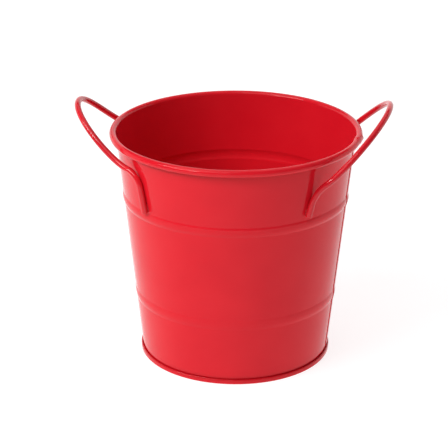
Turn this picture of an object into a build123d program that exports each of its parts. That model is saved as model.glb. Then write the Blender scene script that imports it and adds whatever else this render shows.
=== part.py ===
from build123d import *
import os
from math import asin, atan2, cos, degrees, hypot, radians, sin, sqrt, tan

os.makedirs("parts", exist_ok=True)

# ---------------------------------------------------------------- driving dimensions, mm
height = 154.5               # floor to the top of the rolled rim
rim_radius = 82.5            # to the outside of the rolled rim
seam_wall_radius = 62.4      # outside of the wall where it enters the base seam
sheet = 0.4                  # thickness of the steel sheet
curl_diameter = 4.7          # outside diameter of the rolled rim
curl_sweep = 310.0           # degrees that the rim is rolled through
seam_height = 3.2            # height of the base seam above the floor
panel_recess = 3.5           # how far the base panel stands off the floor
play = 0.02                  # gap between the folded layers of the seam
wall_hook_top = 2.3          # top of the wall's hook inside the seam
base_corner = 0.3            # middle radius of the corners under the seam
panel_corner = 1.0           # middle radius between the base panel and its upright edge

rib_width = 7.8
rib_foot_radius = 3.0        # hollow blend between a rib and the wall
upper_rib_height = 110.4
upper_rib_depth = 0.7
lower_rib_height = 43.4
lower_rib_depth = 0.45

lap_angle = 4.6              # width of the side seam's lap, degrees
lap_middle = -1.0            # azimuth of the lap's middle from +X, degrees

wire_diameter = 4.0          # handle wire
wire_gap = 0.05              # weld metal between the wire and the wall
bend_reach = 9.0             # how far the bend at the top of a leg runs to each side of its corner
bend_fullness = 0.55         # control arms of that bend, as a share of its reach
weld_start = 0.4             # weld above the end of its leg
weld_length = 6.0
weld_width = 3.4
weld_depth = 0.3             # how far a weld would reach into the wall before it is trimmed

# The two wires are bent by hand and differ a little. Each leg runs up the wall from its foot to
# its knee, which are set by their heights and by their azimuths from the middle of the handle.
# There the wire turns away, aim degrees off the handle's middle plane and rise degrees above
# level, and runs up to the tip.
right_bend = dict(
    foot_azimuth=43.5, foot_height=116.4, knee_azimuth=41.2, knee_height=132.9, aim=-3.8, rise=37.2,
    run_in=10.6, run_out=37.0, tip_reach=99.7, tip_height=173.7,
)
left_bend = dict(
    foot_azimuth=41.7, foot_height=114.2, knee_azimuth=38.9, knee_height=140.4, aim=42.4, rise=6.2,
    run_in=14.4, run_out=30.1, tip_reach=102.5, tip_height=171.5,
)
left_turn = 9.0              # the left handle, from straight opposite the right one, degrees

# ---------------------------------------------------------------- values that follow
curl_radius = curl_diameter / 2
curl_mid_radius = curl_radius - sheet / 2
curl_centre = (rim_radius - curl_radius, height - curl_radius)
wall_start = (seam_wall_radius - sheet / 2, seam_height)

# The wall's middle line runs from the seam and meets the curl on its inner side as a tangent.
to_curl_r = curl_centre[0] - wall_start[0]
to_curl_z = curl_centre[1] - wall_start[1]
to_curl = hypot(to_curl_r, to_curl_z)
wall_lean = atan2(to_curl_r, to_curl_z) - asin(curl_mid_radius / to_curl)
wall_slant = sqrt(to_curl**2 - curl_mid_radius**2)
wall_direction = (sin(wall_lean), cos(wall_lean))


def wall_outside(z):
    """Outer radius of the plain wall at height z."""
    middle = wall_start[0] + (z - seam_height) * tan(wall_lean)
    return middle + sheet / 2 / cos(wall_lean)


def along_wall(distance, offset=0.0):
    """Point at a distance up the slanted wall from the seam, set off from its middle line."""
    return (
        wall_start[0] + distance * wall_direction[0] + offset * wall_direction[1],
        wall_start[1] + distance * wall_direction[1] - offset * wall_direction[0],
    )


def rib_arcs(line, depth):
    """Three tangent arcs that carry the sheet out over a rib and back to its line."""
    turn = 2 * atan2(depth, rib_width / 2)
    arc_radii = rib_width / 2 / sin(turn)
    crown_radius = arc_radii - rib_foot_radius
    foot = JernArc(line @ 1, line % 1, rib_foot_radius, -degrees(turn))
    crown = JernArc(foot @ 1, foot % 1, crown_radius, 2 * degrees(turn))
    return JernArc(crown @ 1, crown % 1, rib_foot_radius, -degrees(turn))


def ribbed_wall(start, end, offset=0.0):
    """Middle line of the ribbed wall between two distances up the slant."""
    lower = (lower_rib_height - seam_height) / cos(wall_lean)
    upper = (upper_rib_height - seam_height) / cos(wall_lean)
    reach = rib_width / 2
    foot_line = Line(along_wall(start, offset), along_wall(lower - reach, offset))
    rib_arcs(foot_line, lower_rib_depth)
    middle = Line(along_wall(lower + reach, offset), along_wall(upper - reach, offset))
    rib_arcs(middle, upper_rib_depth)
    return Line(along_wall(upper + reach, offset), along_wall(end, offset))


# ---------------------------------------------------------------- base seam layers, mid radii
fold_pitch = sheet + play
base_chuck_r = wall_start[0] - fold_pitch
base_hook_r = wall_start[0] + fold_pitch
wall_hook_r = wall_start[0] + 2 * fold_pitch
base_outer_r = wall_start[0] + 3 * fold_pitch
wall_turn_z = sheet + play + fold_pitch + sheet / 2
base_turn_z = seam_height - fold_pitch - sheet / 2
panel_z = panel_recess + sheet / 2

# ---------------------------------------------------------------- wall
with BuildPart() as wall:
    with BuildSketch(Plane.XZ):
        with BuildLine():
            hook = Line((wall_hook_r, wall_hook_top), (wall_hook_r, wall_turn_z))
            fold = JernArc(hook @ 1, hook % 1, fold_pitch, -180)
            Line(fold @ 1, wall_start)
            side = ribbed_wall(0, wall_slant)
            JernArc(side @ 1, wall_direction, curl_mid_radius, -curl_sweep)
        trace(line_width=sheet)
    revolve(axis=Axis.Z)
    # The sheet laps over itself along the side seam and round the outside of the curl.
    lap_plane = Plane.XZ.rotated((0, 0, lap_middle - lap_angle / 2))
    with BuildSketch(lap_plane):
        with BuildLine():
            ribbed_wall(1.0, wall_slant - 2 * curl_radius, sheet)
        trace(line_width=sheet)
    revolve(axis=Axis.Z, revolution_arc=lap_angle)
    with BuildSketch(lap_plane):
        with BuildLine():
            CenterArc(curl_centre, curl_mid_radius + sheet, -60, 240)
        trace(line_width=sheet)
    revolve(axis=Axis.Z, revolution_arc=lap_angle)
wall.part.label = "wall"
export_step(wall.part, "parts/wall.step")

# ---------------------------------------------------------------- base
with BuildPart() as base:
    with BuildSketch(Plane.XZ):
        with BuildLine():
            panel = Line((0, panel_z), (base_chuck_r - panel_corner, panel_z))
            shoulder = JernArc(panel @ 1, (1, 0), panel_corner, -90)
            chuck = Line(shoulder @ 1, (base_chuck_r, sheet / 2 + base_corner))
            inner_corner = JernArc(chuck @ 1, (0, -1), base_corner, 90)
            ring = Line(inner_corner @ 1, (base_outer_r - base_corner, sheet / 2))
            outer_corner = JernArc(ring @ 1, (1, 0), base_corner, 90)
            lip = Line(outer_corner @ 1, (base_outer_r, base_turn_z))
            turn_in = JernArc(lip @ 1, (0, 1), fold_pitch, 180)
            Line(turn_in @ 1, (base_hook_r, wall_turn_z + play))
        trace(line_width=sheet)
    revolve(axis=Axis.Z)
base.part.label = "base"
export_step(base.part, "parts/base.step")

# ---------------------------------------------------------------- sealing compound in the seam
compound_width = sheet - 2 * play
with BuildPart() as base_seam_compound:
    with BuildSketch(Plane.XZ):
        with Locations((wall_hook_r, (wall_hook_top + base_turn_z) / 2 + play)):
            Rectangle(compound_width, base_turn_z - wall_hook_top)
    revolve(axis=Axis.Z)
base_seam_compound.part.label = "base_seam_compound"
export_step(base_seam_compound.part, "parts/base_seam_compound.step")

# ---------------------------------------------------------------- wire inside the rolled rim
with BuildPart() as rim_wire:
    with BuildSketch(Plane.XZ):
        with Locations(curl_centre):
            Circle(curl_radius - sheet - play)
    revolve(axis=Axis.Z)
rim_wire.part.label = "rim_wire"
export_step(rim_wire.part, "parts/rim_wire.step")


# ---------------------------------------------------------------- handles
def leg_point(height_on_wall, azimuth):
    """Centre of a wire that lies against the wall, on the near side of the +X handle."""
    radius = wall_outside(height_on_wall) + (wire_diameter / 2 + wire_gap) / cos(wall_lean)
    return Vector(
        radius * cos(radians(azimuth)),
        -radius * sin(radians(azimuth)),
        height_on_wall,
    )


def make_handle(
    foot_azimuth, foot_height, knee_azimuth, knee_height, aim, rise, run_in, run_out, tip_reach, tip_height
):
    """The +X handle, two legs and the loop between them, as one bent wire, and its welds."""
    foot = leg_point(foot_height, foot_azimuth)
    knee = leg_point(knee_height, knee_azimuth)
    tip = Vector(tip_reach, 0, tip_height)
    up_leg = (knee - foot).normalized()
    outward = Vector(
        cos(radians(rise)) * cos(radians(aim)),
        cos(radians(rise)) * sin(radians(aim)),
        sin(radians(rise)),
    )
    leg_top = knee - up_leg * bend_reach
    loop_start = knee + outward * bend_reach
    arm = bend_reach * bend_fullness
    with BuildPart() as handle:
        with BuildLine() as half:
            Line(foot, leg_top)
            Bezier(leg_top, leg_top + up_leg * arm, loop_start - outward * arm, loop_start)
            Bezier(loop_start, loop_start + outward * run_in, tip - Vector(0, run_out, 0), tip)
        with BuildSketch(Plane(origin=foot, z_dir=up_leg)):
            Circle(wire_diameter / 2)
        sweep(path=half.wires()[0])
        mirror(about=Plane.XZ)

    # Weld metal fills the crevice between the wall and each leg.
    middle = foot + up_leg * (weld_start + weld_length / 2)
    inward = Vector(-middle.X, -middle.Y, 0).normalized()
    with BuildPart() as welds:
        with BuildSketch(Plane(origin=middle, x_dir=up_leg.cross(inward), z_dir=inward)):
            RectangleRounded(weld_width, weld_length, weld_width / 3)
        extrude(amount=wire_diameter / 2 + weld_depth)
        mirror(about=Plane.XZ)
        add(handle.part, mode=Mode.SUBTRACT)
        add(wall_body.part, mode=Mode.SUBTRACT)
    return handle.part, welds.part


# Everything inside the outer face of the wall, which trims the welds.
with BuildPart() as wall_body:
    with BuildSketch(Plane.XZ):
        Polygon(
            (0, seam_height),
            (wall_outside(seam_height), seam_height),
            (wall_outside(height), height),
            (0, height),
            align=None,
        )
    revolve(axis=Axis.Z)

right_handle, right_handle_welds = make_handle(**right_bend)
right_handle.label = "right_handle"
export_step(right_handle, "parts/right_handle.step")

right_handle_welds.label = "right_handle_welds"
export_step(right_handle_welds, "parts/right_handle_welds.step")

# The left handle is shaped on the +X side too, then mirrored over and turned to its place.
left_loop, left_loop_welds = make_handle(**left_bend)

left_handle = left_loop.mirror(Plane.YZ).rotate(Axis.Z, left_turn)
left_handle.label = "left_handle"
export_step(left_handle, "parts/left_handle.step")

left_handle_welds = left_loop_welds.mirror(Plane.YZ).rotate(Axis.Z, left_turn)
left_handle_welds.label = "left_handle_welds"
export_step(left_handle_welds, "parts/left_handle_welds.step")
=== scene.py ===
from math import asin, atan2, cos, hypot, pi, radians, sin, sqrt, tan

import bmesh
import bpy
from mathutils import Matrix, Vector


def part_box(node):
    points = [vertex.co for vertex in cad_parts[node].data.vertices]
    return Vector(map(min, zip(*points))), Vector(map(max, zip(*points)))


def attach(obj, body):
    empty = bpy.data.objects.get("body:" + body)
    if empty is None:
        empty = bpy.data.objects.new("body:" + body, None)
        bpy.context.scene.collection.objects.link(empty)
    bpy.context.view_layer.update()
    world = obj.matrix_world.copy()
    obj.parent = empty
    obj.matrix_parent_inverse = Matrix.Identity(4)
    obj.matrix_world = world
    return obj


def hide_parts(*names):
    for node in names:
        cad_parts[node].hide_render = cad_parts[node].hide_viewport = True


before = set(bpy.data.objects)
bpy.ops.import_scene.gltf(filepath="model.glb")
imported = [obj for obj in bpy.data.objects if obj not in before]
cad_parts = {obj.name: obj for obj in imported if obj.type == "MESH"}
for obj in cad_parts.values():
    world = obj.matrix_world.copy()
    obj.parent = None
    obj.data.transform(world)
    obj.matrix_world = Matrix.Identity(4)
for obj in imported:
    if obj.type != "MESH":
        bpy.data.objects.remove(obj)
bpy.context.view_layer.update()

# ---------------------------------------------------------------- sizes, metres
mm = 0.001
sheet = 0.4 * mm
wall_low, wall_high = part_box("wall")
base_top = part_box("base")[1].z
height = wall_high.z - sheet                 # the side seam's lap stands one sheet above the rim
rim_radius = -wall_low.x
seam_wall_radius = 62.4 * mm
curl_diameter = 4.7 * mm
curl_sweep = radians(322)                    # tucks the edge of the sheet well under the rim
seam_height = 3.2 * mm
panel_recess = base_top - sheet
play = 0.02 * mm
wall_hook_top = 2.3 * mm
base_corner = 0.3 * mm
panel_corner = 1.0 * mm

rib_width = 7.8 * mm
rib_foot_radius = 3.0 * mm
upper_rib_height = 110.4 * mm
upper_rib_depth = 0.7 * mm
lower_rib_height = 43.4 * mm
lower_rib_depth = 0.45 * mm

wire_radius = 2.0 * mm
wire_gap = 0.05 * mm
bend_reach = 9.0 * mm
bend_fullness = 0.55
weld_start = 0.4 * mm
weld_length = 6.0 * mm
wire_end_round = 0.6 * mm
weld_least_fillet = 0.06 * mm
weld_fillet_growth = 0.5 * mm
weld_sink = 0.12 * mm                        # how far a weld's edge is sunk in the wall
weld_edge = 0.1 * mm

# ---------------------------------------------------------------- values that follow
curl_radius = curl_diameter / 2
curl_mid_radius = curl_radius - sheet / 2
curl_centre = (rim_radius - curl_radius, height - curl_radius)
wall_start = (seam_wall_radius - sheet / 2, seam_height)
to_curl_r = curl_centre[0] - wall_start[0]
to_curl_z = curl_centre[1] - wall_start[1]
to_curl = hypot(to_curl_r, to_curl_z)
wall_lean = atan2(to_curl_r, to_curl_z) - asin(curl_mid_radius / to_curl)
wall_slant = sqrt(to_curl**2 - curl_mid_radius**2)
fold_pitch = sheet + play
wall_turn_z = fold_pitch * 2 + sheet / 2     # where the wall's hook starts to turn up


def wall_outside(z):
    """Outer radius of the plain wall at height z."""
    return wall_start[0] + (z - seam_height) * tan(wall_lean) + sheet / 2 / cos(wall_lean)


def smooth(low, high, value):
    """0 below low, 1 above high, and an S-curve between them."""
    share = min(1.0, max(0.0, (value - low) / (high - low)))
    return share * share * (3 - 2 * share)


# ---------------------------------------------------------------- sheet sections
class SheetPoint:
    """A point on the skin of a sheet's section.

    side is 1 on the outer skin and -1 on the inner one, and turned is 0 on the plain sheet and grows
    to 1 at the end of the rim's curl.
    """

    def __init__(self, r, z, normal_r, normal_z, side, turned):
        self.r = r
        self.z = z
        self.normal_r = normal_r
        self.normal_z = normal_z
        self.side = side
        self.turned = turned


class Pen:
    """Draws the middle line of a sheet in the r-z plane. A heading of 0 is up, and it grows outward."""

    def __init__(self, r, z, heading):
        self.r = r
        self.z = z
        self.heading = heading
        self.turned = 0.0
        self.marks = [(r, z, heading, 0.0)]

    def go(self, length):
        """One step straight on."""
        self.r += length * sin(self.heading)
        self.z += length * cos(self.heading)
        self.marks.append((self.r, self.z, self.heading, self.turned))

    def line(self, length, longest=5 * mm):
        """A straight run whose steps are short at both ends, so that its shading stays flat."""
        steps = []
        step = min(0.25 * mm, length / 8)
        while sum(steps) * 2 + step * 2 < length:
            steps.append(step)
            step = min(step * 1.8, longest)
        for step in steps + [length - 2 * sum(steps)] + steps[::-1]:
            self.go(step)

    def arc(self, radius, turn, step=radians(7), rolls=False):
        """A tangent arc, outward where turn is positive. rolls says that it is the rim's curl."""
        count = max(3, round(abs(turn) / step))
        chord = 2 * radius * sin(abs(turn) / count / 2)
        for index in range(count):
            self.heading += turn / count / 2
            self.r += chord * sin(self.heading)
            self.z += chord * cos(self.heading)
            self.heading += turn / count / 2
            if rolls:
                self.turned = (index + 1) / count
            self.marks.append((self.r, self.z, self.heading, self.turned))

    def rib(self, depth):
        """Three arcs that carry the sheet out over a rib and back."""
        turn = 2 * atan2(depth, rib_width / 2)
        crown_radius = rib_width / 2 / sin(turn) - rib_foot_radius
        self.arc(rib_foot_radius, turn, radians(2.2))
        self.arc(crown_radius, -2 * turn, radians(2.2))
        self.arc(rib_foot_radius, turn, radians(2.2))


def end_cap(mark, opening, thickness):
    """Half round end of a sheet, from its outer skin to its inner one, or the other way if it opens."""
    r, z, heading, turned = mark
    half = thickness / 2
    points = []
    for index in range(1, 6):
        angle = index * pi / 6
        if opening:
            angle = pi + angle
        across = cos(angle)
        along = sin(angle)
        normal_r = across * cos(heading) + along * sin(heading)
        normal_z = -across * sin(heading) + along * cos(heading)
        place = (r + half * normal_r, z + half * normal_z)
        points.append(SheetPoint(*place, normal_r, normal_z, across, turned))
    return points


def skin(marks, thickness, start_on_axis=False):
    """The closed section of a sheet about its middle line: outer skin, end, inner skin, start."""
    half = thickness / 2
    outer = []
    inner = []
    for r, z, heading, turned in marks:
        normal_r, normal_z = cos(heading), -sin(heading)
        off_r, off_z = half * normal_r, half * normal_z
        outer.append(SheetPoint(r + off_r, z + off_z, normal_r, normal_z, 1.0, turned))
        inner.append(SheetPoint(r - off_r, z - off_z, -normal_r, -normal_z, -1.0, turned))
    section = outer + end_cap(marks[-1], False, thickness) + inner[::-1]
    if not start_on_axis:
        section += end_cap(marks[0], True, thickness)
    return section


# ---------------------------------------------------------------- mesh helpers
def mesh_object(name, vertices, faces, attributes=()):
    """A smooth-shaded mesh object with float attributes on its points."""
    mesh = bpy.data.meshes.new(name)
    mesh.from_pydata(vertices, [], faces)
    for attribute_name, values in attributes:
        attribute = mesh.attributes.new(attribute_name, "FLOAT", "POINT")
        attribute.data.foreach_set("value", values)
    mesh.polygons.foreach_set("use_smooth", [True] * len(mesh.polygons))
    editor = bmesh.new()
    editor.from_mesh(mesh)
    bmesh.ops.remove_doubles(editor, verts=editor.verts, dist=1e-7)
    bmesh.ops.recalc_face_normals(editor, faces=editor.faces)
    editor.to_mesh(mesh)
    editor.free()
    piece = bpy.data.objects.new(name, mesh)
    bpy.context.scene.collection.objects.link(piece)
    return piece


def revolve(name, section, azimuths, place, paint, closed=True):
    """Turns a section round Z.

    place gives a point's position at an azimuth, and paint gives how much painted shade, a darker red,
    lies on it.
    """
    count = len(section)
    vertices = []
    shade_depth = []
    for azimuth in azimuths:
        for point in section:
            vertices.append(place(point, azimuth))
            shade_depth.append(paint(point))
    faces = []
    for ring in range(len(azimuths)):
        this = ring * count
        after = (ring + 1) % len(azimuths) * count
        for index in range(count if closed else count - 1):
            follow = (index + 1) % count
            faces.append((this + index, this + follow, after + follow, after + index))
    return mesh_object(name, vertices, faces, [("painted_shade_amount", shade_depth)])


def round_azimuths(count):
    """Azimuths spread evenly round the circle."""
    return [2 * pi * index / count for index in range(count)]


# ---------------------------------------------------------------- wall
# The sheet's ends lap at the side seam. Its inner end shows inside the bucket and over the rim.
seam_inner_edge = radians(1.0)
seam_outer_edge = radians(-3.6)
seam_joggle = radians(3.0)
edge_round = radians(0.2)
lap_step = 0.4 * mm
curl_skew = radians(0.4)                     # how far the sheet's end runs off square over the curl
skew_reach = radians(14)
lap_foot = seam_height + 1 * mm              # the lap starts above the base seam
ripple_depth = 0.08 * mm
corner_azimuth = radians(1.2)                # the rim runs nearly straight to a slight corner here
corner_reach = radians(6.5)
wall_rings = 264
lap_rings = (-1.3, -1, -0.75, -0.5, -0.25, 0, 0.3)  # extra rings at a lap's edge, in edge rounds


def near_seam(azimuth):
    """Azimuth from -180 to 180 degrees."""
    return (azimuth + pi) % (2 * pi) - pi


def lap_lift(point, azimuth):
    """How far the skin stands proud at the side seam."""
    azimuth = near_seam(azimuth)
    if point.side > 0:
        rise = smooth(seam_outer_edge - edge_round, seam_outer_edge, azimuth)
        fall = 1 - smooth(seam_inner_edge, seam_inner_edge + seam_joggle, azimuth)
        return lap_step * point.side * rise * fall
    rise = smooth(seam_outer_edge - seam_joggle, seam_outer_edge, azimuth)
    fall = 1 - smooth(seam_inner_edge - edge_round, seam_inner_edge, azimuth)
    return -lap_step * point.side * rise * fall


def wall_ripple(azimuth, z):
    """Slight unevenness of the rolled sheet, none at the base seam."""
    share = smooth(0, 60 * mm, z)
    wave = 0.45 * sin(5 * azimuth + 0.6)
    wave += 0.3 * sin(9 * azimuth + 2.1 + 14 * z)
    wave += 0.25 * sin(14 * azimuth - 9 * z)
    return ripple_depth * wave * share


def rim_corner(azimuth, z):
    """How much farther out the rim stands beside its lap, as a share of its radius."""
    off_corner = min(corner_reach, abs(near_seam(azimuth) - corner_azimuth))
    return (1 / cos(corner_reach - off_corner) - 1) * smooth(height - 16 * mm, height - 5 * mm, z)


def place_wall(point, azimuth):
    """Position of a point of the wall's section at an azimuth."""
    window = 1 - smooth(0, skew_reach, abs(near_seam(azimuth)))
    lift = lap_lift(point, azimuth) if point.z > lap_foot else 0.0
    r = point.r + point.normal_r * lift + wall_ripple(azimuth, point.z)
    r *= 1 + rim_corner(azimuth, point.z)
    z = point.z + point.normal_z * lift
    turned = azimuth + curl_skew * min(1.0, point.turned * 2) * window
    return (r * cos(turned), r * sin(turned), z)


def wall_painted_shade(point):
    """How much painted shade, a darker red, lies on a point: on the outer wall just under the curl, just
    above the base seam and in the tucked end of the curl, with less toward the top of the rim.
    """
    if point.turned > 0:
        # painted shade in the tucked end of the curl
        curl_end_shade = 0.5 * smooth(0.6, 1.0, point.turned)
        rim_top_less_shade = 0.3 * (1 - smooth(0.25, 0.5, abs(point.turned - 0.25)))
        return curl_end_shade - rim_top_less_shade
    # painted shade under the rim's curl and in the crease above the base seam
    under_curl = smooth(height - 9 * mm, height - 4 * mm, point.z) if point.side > 0 else 0.0
    above_seam = 1 - smooth(seam_height, seam_height + 2 * mm, point.z)
    return under_curl + above_seam


def build_wall():
    """The rolled side sheet, from its hook in the base seam to the end of the rim's curl."""
    hook_r = wall_start[0] + 2 * fold_pitch
    pen = Pen(hook_r, wall_hook_top, pi)
    pen.line(wall_hook_top - wall_turn_z)
    pen.arc(fold_pitch, pi, radians(20))
    pen.heading = 0.0
    pen.line(seam_height - pen.z)
    pen.heading = wall_lean
    lower = (lower_rib_height - seam_height) / cos(wall_lean)
    upper = (upper_rib_height - seam_height) / cos(wall_lean)
    pen.line(lower - rib_width / 2)
    pen.rib(lower_rib_depth)
    pen.line(upper - lower - rib_width)
    pen.rib(upper_rib_depth)
    pen.line(wall_slant - upper - rib_width / 2)
    pen.arc(curl_mid_radius, curl_sweep, radians(8), rolls=True)
    azimuths = round_azimuths(wall_rings)
    for edge in (seam_inner_edge, seam_outer_edge):
        for share in lap_rings:
            azimuths.append((edge + edge_round * share) % (2 * pi))
    return revolve("wall_sheet", skin(pen.marks, sheet), sorted(azimuths), place_wall, wall_painted_shade)


# ---------------------------------------------------------------- base
def place_round(point, azimuth):
    """Position of a section's point at an azimuth, on a true circle."""
    return (point.r * cos(azimuth), point.r * sin(azimuth), point.z)


def base_painted_shade(point):
    """Painted shade: a darker red in the corner round the base panel."""
    near_edge = smooth(seam_wall_radius - 4 * mm, seam_wall_radius - sheet, point.r)
    return 0.8 * near_edge * smooth(1 * mm, 3 * mm, point.z)


def build_base():
    """The base panel and its half of the seam."""
    chuck_r = wall_start[0] - fold_pitch
    outer_r = wall_start[0] + 3 * fold_pitch
    hook_r = wall_start[0] + fold_pitch
    turn_z = seam_height - fold_pitch - sheet / 2
    pen = Pen(0.0, panel_recess + sheet / 2, pi / 2)
    pen.line(chuck_r - panel_corner)
    pen.arc(panel_corner, pi / 2, radians(9))
    pen.line(pen.z - sheet / 2 - base_corner)
    pen.arc(base_corner, -pi / 2, radians(11))
    pen.line(outer_r - base_corner - pen.r)
    pen.arc(base_corner, -pi / 2, radians(11))
    pen.line(turn_z - pen.z)
    pen.arc(fold_pitch, -pi, radians(12))
    hook_low = wall_turn_z + play
    pen.line(pen.z - hook_low)
    section = skin(pen.marks, sheet, start_on_axis=True)
    return revolve("base_sheet", section, round_azimuths(240), place_round, base_painted_shade, closed=False)


# ---------------------------------------------------------------- handles
right_bend = dict(
    foot_azimuth=radians(43.5), foot_height=116.4 * mm, knee_azimuth=radians(41.2), knee_height=132.9 * mm,
    aim=radians(-3.8), rise=radians(37.2), run_in=10.6 * mm, run_out=37.0 * mm,
    tip_reach=99.7 * mm, tip_height=173.7 * mm,
)
left_bend = dict(
    foot_azimuth=radians(41.7), foot_height=114.2 * mm, knee_azimuth=radians(38.9), knee_height=140.4 * mm,
    aim=radians(42.4), rise=radians(6.2), run_in=14.4 * mm, run_out=30.1 * mm,
    tip_reach=102.5 * mm, tip_height=171.5 * mm,
)
left_turn = radians(9.0)
right_place = Matrix.Identity(4)
left_place = Matrix.Rotation(left_turn, 4, "Z") @ Matrix.Scale(-1, 4, Vector((1, 0, 0)))


def leg_point(height_on_wall, azimuth):
    """Centre of a wire that lies against the wall, on the near side of the +X handle."""
    radius = wall_outside(height_on_wall) + (wire_radius + wire_gap) / cos(wall_lean)
    return Vector((radius * cos(azimuth), -radius * sin(azimuth), height_on_wall))


def leg_ends(bend):
    """The foot and the knee of a handle's near leg."""
    foot = leg_point(bend["foot_height"], bend["foot_azimuth"])
    knee = leg_point(bend["knee_height"], bend["knee_azimuth"])
    return foot, knee


def bezier(a, b, c, d, steps):
    """Points of a cubic Bezier after its first one."""
    points = []
    for index in range(1, steps + 1):
        t = index / steps
        points.append((1 - t) ** 3 * a + 3 * (1 - t) ** 2 * t * b + 3 * (1 - t) * t * t * c + t**3 * d)
    return points


def wire_line(bend):
    """Centreline of the +X handle from foot to foot."""
    foot, knee = leg_ends(bend)
    tip = Vector((bend["tip_reach"], 0, bend["tip_height"]))
    rise, aim = bend["rise"], bend["aim"]
    up_leg = (knee - foot).normalized()
    outward = Vector((cos(rise) * cos(aim), cos(rise) * sin(aim), sin(rise)))
    leg_top = knee - up_leg * bend_reach
    loop_start = knee + outward * bend_reach
    arm = bend_reach * bend_fullness
    leg_steps = 6
    half = [foot.lerp(leg_top, index / leg_steps) for index in range(leg_steps + 1)]
    half += bezier(leg_top, leg_top + up_leg * arm, loop_start - outward * arm, loop_start, 28)
    loop_arm = loop_start + outward * bend["run_in"]
    tip_arm = tip - Vector((0, bend["run_out"], 0))
    half += bezier(loop_start, loop_arm, tip_arm, tip, 56)
    far = [Vector((point.x, -point.y, point.z)) for point in half[-2::-1]]
    return half + far


def build_wire(name, line, place):
    """A round wire along a centreline, with its cut ends softened by the paint."""
    around = 28
    directions = []
    for index in range(len(line)):
        before = line[max(0, index - 1)]
        after = line[min(len(line) - 1, index + 1)]
        directions.append((after - before).normalized())
    side = directions[0].orthogonal().normalized()
    rings = []
    for index, (point, direction) in enumerate(zip(line, directions)):
        side = (side - direction * side.dot(direction)).normalized()
        up = direction.cross(side)
        rings.append((point, wire_radius, side, up))
    for at_end, direction in ((0, -directions[0]), (-1, directions[-1])):
        point, radius, side, up = rings[at_end]
        softened = []
        for angle in (18, 36, 54, 72, 90):
            shrink = wire_end_round * (1 - cos(radians(angle)))
            reach = wire_end_round * sin(radians(angle)) - wire_end_round
            softened.append((point + direction * reach, radius - shrink, side, up))
        softened.append((point, (radius - wire_end_round) / 2, side, up))
        softened.append((point, 0.0, side, up))
        start = (point - direction * wire_end_round, radius, side, up)
        if at_end == 0:
            rings[0] = start
            rings = softened[::-1] + rings
        else:
            rings[-1] = start
            rings = rings + softened
    vertices = []
    for point, radius, side, up in rings:
        for index in range(around):
            angle = 2 * pi * index / around
            vertices.append(place @ (point + (side * cos(angle) + up * sin(angle)) * radius))
    faces = []
    for ring in range(len(rings) - 1):
        for index in range(around):
            follow = (index + 1) % around
            this = ring * around
            faces.append((this + index, this + follow, this + around + follow, this + around + index))
    shade_depth = [0.0] * len(vertices)
    return mesh_object(name, vertices, faces, [("painted_shade_amount", shade_depth)])


def weld_section(fillet):
    """Half section of a weld: a hollow fillet from the wall up to the wire, as (across, off the wall)."""
    rise = wire_radius + wire_gap
    reach = sqrt((wire_radius + fillet) ** 2 - (rise - fillet) ** 2)
    to_wire = atan2(rise - fillet, -reach)
    points = [(reach + weld_edge, -weld_sink)]
    for index in range(9):
        angle = -pi / 2 - (2 * pi - pi / 2 - to_wire) * index / 8
        points.append((reach + fillet * cos(angle), fillet + fillet * sin(angle)))
    points.append((0.0, rise))
    return points


def build_welds(name, bend, place):
    """The painted welds of one handle, each a pair of hollow fillets beside its leg."""
    foot, knee = leg_ends(bend)
    along = (knee - foot).normalized()
    azimuth = bend["foot_azimuth"]
    off_wall = Vector((cos(wall_lean) * cos(azimuth), -cos(wall_lean) * sin(azimuth), -sin(wall_lean)))
    across = along.cross(off_wall).normalized()
    start = foot + along * weld_start - off_wall * (wire_radius + wire_gap)
    steps = 20
    vertices = []
    faces = []
    for hand in (1, -1):
        first = len(vertices)
        for step in range(steps + 1):
            share = step / steps
            fillet = weld_least_fillet + weld_fillet_growth * sin(pi * share) ** 0.6
            right = weld_section(fillet)
            outline = right + [(-x, y) for x, y in right[-2::-1]]
            for x, y in outline:
                point = start + along * weld_length * share + across * x + off_wall * y
                vertices.append(place @ Vector((point.x, hand * point.y, point.z)))
        count = len(outline)
        for step in range(steps):
            this = first + step * count
            for index in range(count):
                follow = (index + 1) % count
                faces.append((this + index, this + follow, this + count + follow, this + count + index))
        faces.append(tuple(first + index for index in range(count)))
        faces.append(tuple(first + steps * count + index for index in reversed(range(count))))
    # the welds carry full painted shade, a darker red all over, in the crease beside each leg
    return mesh_object(name, vertices, faces, [("painted_shade_amount", [1.0] * len(vertices))])


# ---------------------------------------------------------------- materials
def new_material(name):
    """A node material with its tree, its Principled shader and the object's own coordinates."""
    material = bpy.data.materials.new(name)
    material.use_nodes = True
    nodes = material.node_tree.nodes
    shader = nodes["Principled BSDF"]
    coordinates = nodes.new("ShaderNodeTexCoord")
    return material, material.node_tree, shader, coordinates.outputs["Object"]


def noise(tree, where, scale, detail=2.0, roughness=0.5, stretch=None):
    """Noise with its scale in features per metre."""
    texture = tree.nodes.new("ShaderNodeTexNoise")
    texture.inputs["Scale"].default_value = scale
    texture.inputs["Detail"].default_value = detail
    texture.inputs["Roughness"].default_value = roughness
    if stretch:
        mapping = tree.nodes.new("ShaderNodeMapping")
        mapping.inputs["Scale"].default_value = stretch
        tree.links.new(where, mapping.inputs["Vector"])
        where = mapping.outputs["Vector"]
    tree.links.new(where, texture.inputs["Vector"])
    return texture.outputs["Fac"]


def spread(tree, value, low, high, from_low=0.0, from_high=1.0):
    """Maps a value from one range to another, clamped."""
    node = tree.nodes.new("ShaderNodeMapRange")
    node.inputs["From Min"].default_value = from_low
    node.inputs["From Max"].default_value = from_high
    node.inputs["To Min"].default_value = low
    node.inputs["To Max"].default_value = high
    tree.links.new(value, node.inputs["Value"])
    return node.outputs["Result"]


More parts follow.
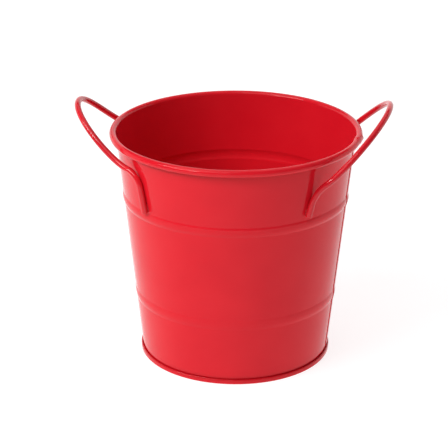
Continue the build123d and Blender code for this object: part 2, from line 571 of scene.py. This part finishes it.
def arithmetic(tree, operation, first, second):
    """The result of an operation on two values, each a number or a socket."""
    node = tree.nodes.new("ShaderNodeMath")
    node.operation = operation
    for socket, value in zip(node.inputs, (first, second)):
        if isinstance(value, (int, float)):
            socket.default_value = value
        else:
            tree.links.new(value, socket)
    return node.outputs["Value"]


def mix_colour(tree, share, first, second):
    """The first colour where share is 0 and the second where it is 1, each a colour or a socket."""
    node = tree.nodes.new("ShaderNodeMix")
    node.data_type = "RGBA"
    tree.links.new(share, node.inputs["Factor"])
    for socket, value in ((node.inputs[6], first), (node.inputs[7], second)):
        if isinstance(value, tuple):
            socket.default_value = value
        else:
            tree.links.new(value, socket)
    return node.outputs[2]


def bump(tree, height_value, distance):
    """A normal from a height map, whose full range is the distance."""
    node = tree.nodes.new("ShaderNodeBump")
    node.inputs["Distance"].default_value = distance
    tree.links.new(height_value, node.inputs["Height"])
    return node.outputs["Normal"]


def red_enamel(name, specular_level, deeper_red):
    """Gloss enamel: a clean red of random tone, turned toward a dark red by painted shade where the mesh
    attribute is high, with orange peel, nibs and rubbing.
    """
    material, tree, shader, where = new_material(name)
    attribute = tree.nodes.new("ShaderNodeAttribute")
    attribute.attribute_name = "painted_shade_amount"
    shade_depth = attribute.outputs["Fac"]
    cloud = noise(tree, where, 28, 3.0)
    light_red = (0.75, 0.012, 0.023, 1)
    # the dark red of the painted shade
    painted_shade_red = (0.45, 0.004, 0.009, 1)
    even = mix_colour(tree, spread(tree, cloud, 0, 1, 0.3, 0.7), deeper_red, light_red)
    # painted shade: the red turns toward the dark red under the rim's curl, in creases and on the welds
    colour = mix_colour(tree, spread(tree, shade_depth, 0, 0.6), even, painted_shade_red)
    tree.links.new(colour, shader.inputs["Base Color"])
    rubbed = noise(tree, where, 160, 4.0, 0.6)
    roughness = spread(tree, rubbed, 0.07, 0.14, 0.35, 0.75)
    tree.links.new(roughness, shader.inputs["Roughness"])
    shader.inputs["IOR"].default_value = 1.5
    shader.inputs["Specular IOR Level"].default_value = specular_level
    peel = noise(tree, where, 420, 1.0)
    cells = tree.nodes.new("ShaderNodeTexVoronoi")
    cells.inputs["Scale"].default_value = 70
    tree.links.new(where, cells.inputs["Vector"])
    nibs = spread(tree, cells.outputs["Distance"], 1, 0, 0.0, 0.03)
    surface = arithmetic(tree, "ADD", peel, nibs)
    tree.links.new(bump(tree, surface, 0.012 * mm), shader.inputs["Normal"])
    return material


def drawn_steel(name):
    """Bare drawn wire, with faint streaks and oil stains."""
    material, tree, shader, where = new_material(name)
    shader.inputs["Metallic"].default_value = 1.0
    stain = noise(tree, where, 90, 3.0)
    colour = mix_colour(tree, stain, (0.5, 0.5, 0.51, 1), (0.36, 0.35, 0.34, 1))
    tree.links.new(colour, shader.inputs["Base Color"])
    tree.links.new(spread(tree, stain, 0.28, 0.45), shader.inputs["Roughness"])
    streaks = noise(tree, where, 900, 2.0, stretch=(1, 1, 6))
    tree.links.new(bump(tree, streaks, 0.01 * mm), shader.inputs["Normal"])
    return material


def sealing_compound(name):
    """Dull grey compound with a slightly pitted skin."""
    material, tree, shader, where = new_material(name)
    mottle = noise(tree, where, 300, 4.0)
    colour = mix_colour(tree, mottle, (0.2, 0.2, 0.22, 1), (0.3, 0.3, 0.32, 1))
    tree.links.new(colour, shader.inputs["Base Color"])
    tree.links.new(spread(tree, mottle, 0.65, 0.85), shader.inputs["Roughness"])
    tree.links.new(bump(tree, mottle, 0.03 * mm), shader.inputs["Normal"])
    return material


def pale_floor(name):
    """Matt studio floor that glows a little, like a light table, so that it is pale all over."""
    material, tree, shader, where = new_material(name)
    grain = noise(tree, where, 40, 2.0)
    colour = mix_colour(tree, grain, (0.34, 0.34, 0.34, 1), (0.36, 0.36, 0.36, 1))
    tree.links.new(colour, shader.inputs["Base Color"])
    shader.inputs["Roughness"].default_value = 0.9
    shader.inputs["Specular IOR Level"].default_value = 0.1
    shader.inputs["Emission Color"].default_value = (1, 1, 1, 1)
    shader.inputs["Emission Strength"].default_value = 0.8
    return material


# ---------------------------------------------------------------- object
enamel = red_enamel("red_enamel", 0.2, (0.71, 0.009, 0.020, 1))
wire_enamel = red_enamel("red_enamel_wire", 0.35, (0.6, 0.007, 0.017, 1))


def finish_piece(piece, node, material):
    """Puts a new piece in the place of its CAD node."""
    piece.data.materials.append(material)
    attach(piece, "root")
    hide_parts(node)


finish_piece(build_wall(), "wall", enamel)
finish_piece(build_base(), "base", enamel)
for side_name, bend, place in (("right", right_bend, right_place), ("left", left_bend, left_place)):
    wire = build_wire(f"{side_name}_handle_wire", wire_line(bend), place)
    finish_piece(wire, f"{side_name}_handle", wire_enamel)
    welds = build_welds(f"{side_name}_handle_weld_fillets", bend, place)
    finish_piece(welds, f"{side_name}_handle_welds", wire_enamel)

for node_name, material in (
    ("rim_wire", drawn_steel("bare_steel_wire")),
    ("base_seam_compound", sealing_compound("seam_compound")),
):
    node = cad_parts[node_name]
    node.data.materials.clear()
    node.data.materials.append(material)


# ---------------------------------------------------------------- stage
camera_azimuth = radians(9.6)
floor_radius = 1.5
sweep_radius = 0.5
sweep_steps = 12
backdrop_top = 1.3


def build_floor():
    """A round pale floor whose far half sweeps up into a backdrop behind the object."""
    outline = [(floor_radius, 0.0)]
    for index in range(1, sweep_steps + 1):
        angle = pi / 2 * index / sweep_steps
        outline.append((floor_radius + sweep_radius * sin(angle), sweep_radius * (1 - cos(angle))))
    outline.append((floor_radius + sweep_radius, backdrop_top))
    around = 64
    vertices = []
    for index in range(around * 2):
        angle = camera_azimuth + pi * index / around
        vertices.append((floor_radius * cos(angle), floor_radius * sin(angle), 0.0))
    faces = [tuple(range(around * 2))]
    first = len(vertices)
    for index in range(around + 1):
        angle = camera_azimuth + pi * index / around
        vertices += [(r * cos(angle), r * sin(angle), z) for r, z in outline]
    count = len(outline)
    for index in range(around):
        for step in range(count - 1):
            this = first + index * count + step
            faces.append((this, this + count, this + count + 1, this + 1))
    floor = mesh_object("floor", vertices, faces)
    floor.data.materials.append(pale_floor("floor"))


build_floor()

# ---------------------------------------------------------------- camera
camera_elevation = radians(22.664)
camera_distance = 1.2046
camera_target = Vector((0, 0, 0.07))
camera_pan = radians(-0.366)
camera_tilt = radians(0.751)
camera_roll = radians(0.249)
camera_lens = 144.64


def seen_from(azimuth, elevation, distance, target):
    """A point at a distance from the target. Azimuth 0 is on -Y and 90 on +X."""
    return target + distance * Vector((
        sin(azimuth) * cos(elevation), -cos(azimuth) * cos(elevation), sin(elevation)
    ))


def aim(thing, position, target):
    """Points a camera's or a light's -Z axis at the target, with its top up."""
    thing.location = position
    thing.rotation_mode = "QUATERNION"
    thing.rotation_quaternion = (target - position).to_track_quat("-Z", "Y")


camera = bpy.data.objects.new("camera", bpy.data.cameras.new("camera"))
bpy.context.scene.collection.objects.link(camera)
aim(camera, seen_from(camera_azimuth, camera_elevation, camera_distance, camera_target), camera_target)
turn = Matrix.Rotation(-camera_pan, 3, "Y")
turn = turn @ Matrix.Rotation(camera_tilt, 3, "X")
turn = turn @ Matrix.Rotation(camera_roll, 3, "Z")
camera.rotation_quaternion = (camera.rotation_quaternion.to_matrix() @ turn).to_quaternion()
camera.data.sensor_width = 36
camera.data.lens = camera_lens
camera.data.clip_start = 0.05
bpy.context.scene.camera = camera


# ---------------------------------------------------------------- light
def softbox(name, azimuth, elevation, distance, width, tall, power):
    """A rectangular studio light, azimuth in degrees from the camera's side and growing to the right."""
    light = bpy.data.lights.new(name, "AREA")
    light.shape = "RECTANGLE"
    light.size = width
    light.size_y = tall
    light.energy = power
    lamp = bpy.data.objects.new(name, light)
    bpy.context.scene.collection.objects.link(lamp)
    turned = camera_azimuth + radians(azimuth)
    aim(lamp, seen_from(turned, radians(elevation), distance, camera_target), camera_target)


softbox("key", azimuth=-56, elevation=38, distance=1.3, width=0.8, tall=0.16, power=8.8)
softbox("fill", azimuth=-36, elevation=56, distance=1.6, width=1.2, tall=0.8, power=7.0)
softbox("top", azimuth=180, elevation=72, distance=2.2, width=2.4, tall=2.4, power=14)

world = bpy.data.worlds.new("studio")
world.use_nodes = True
background = world.node_tree.nodes["Background"]
background.inputs["Color"].default_value = (1, 1, 1, 1)
background.inputs["Strength"].default_value = 0.12
bpy.context.scene.world = world
bpy.context.scene.view_settings.view_transform = "Standard"
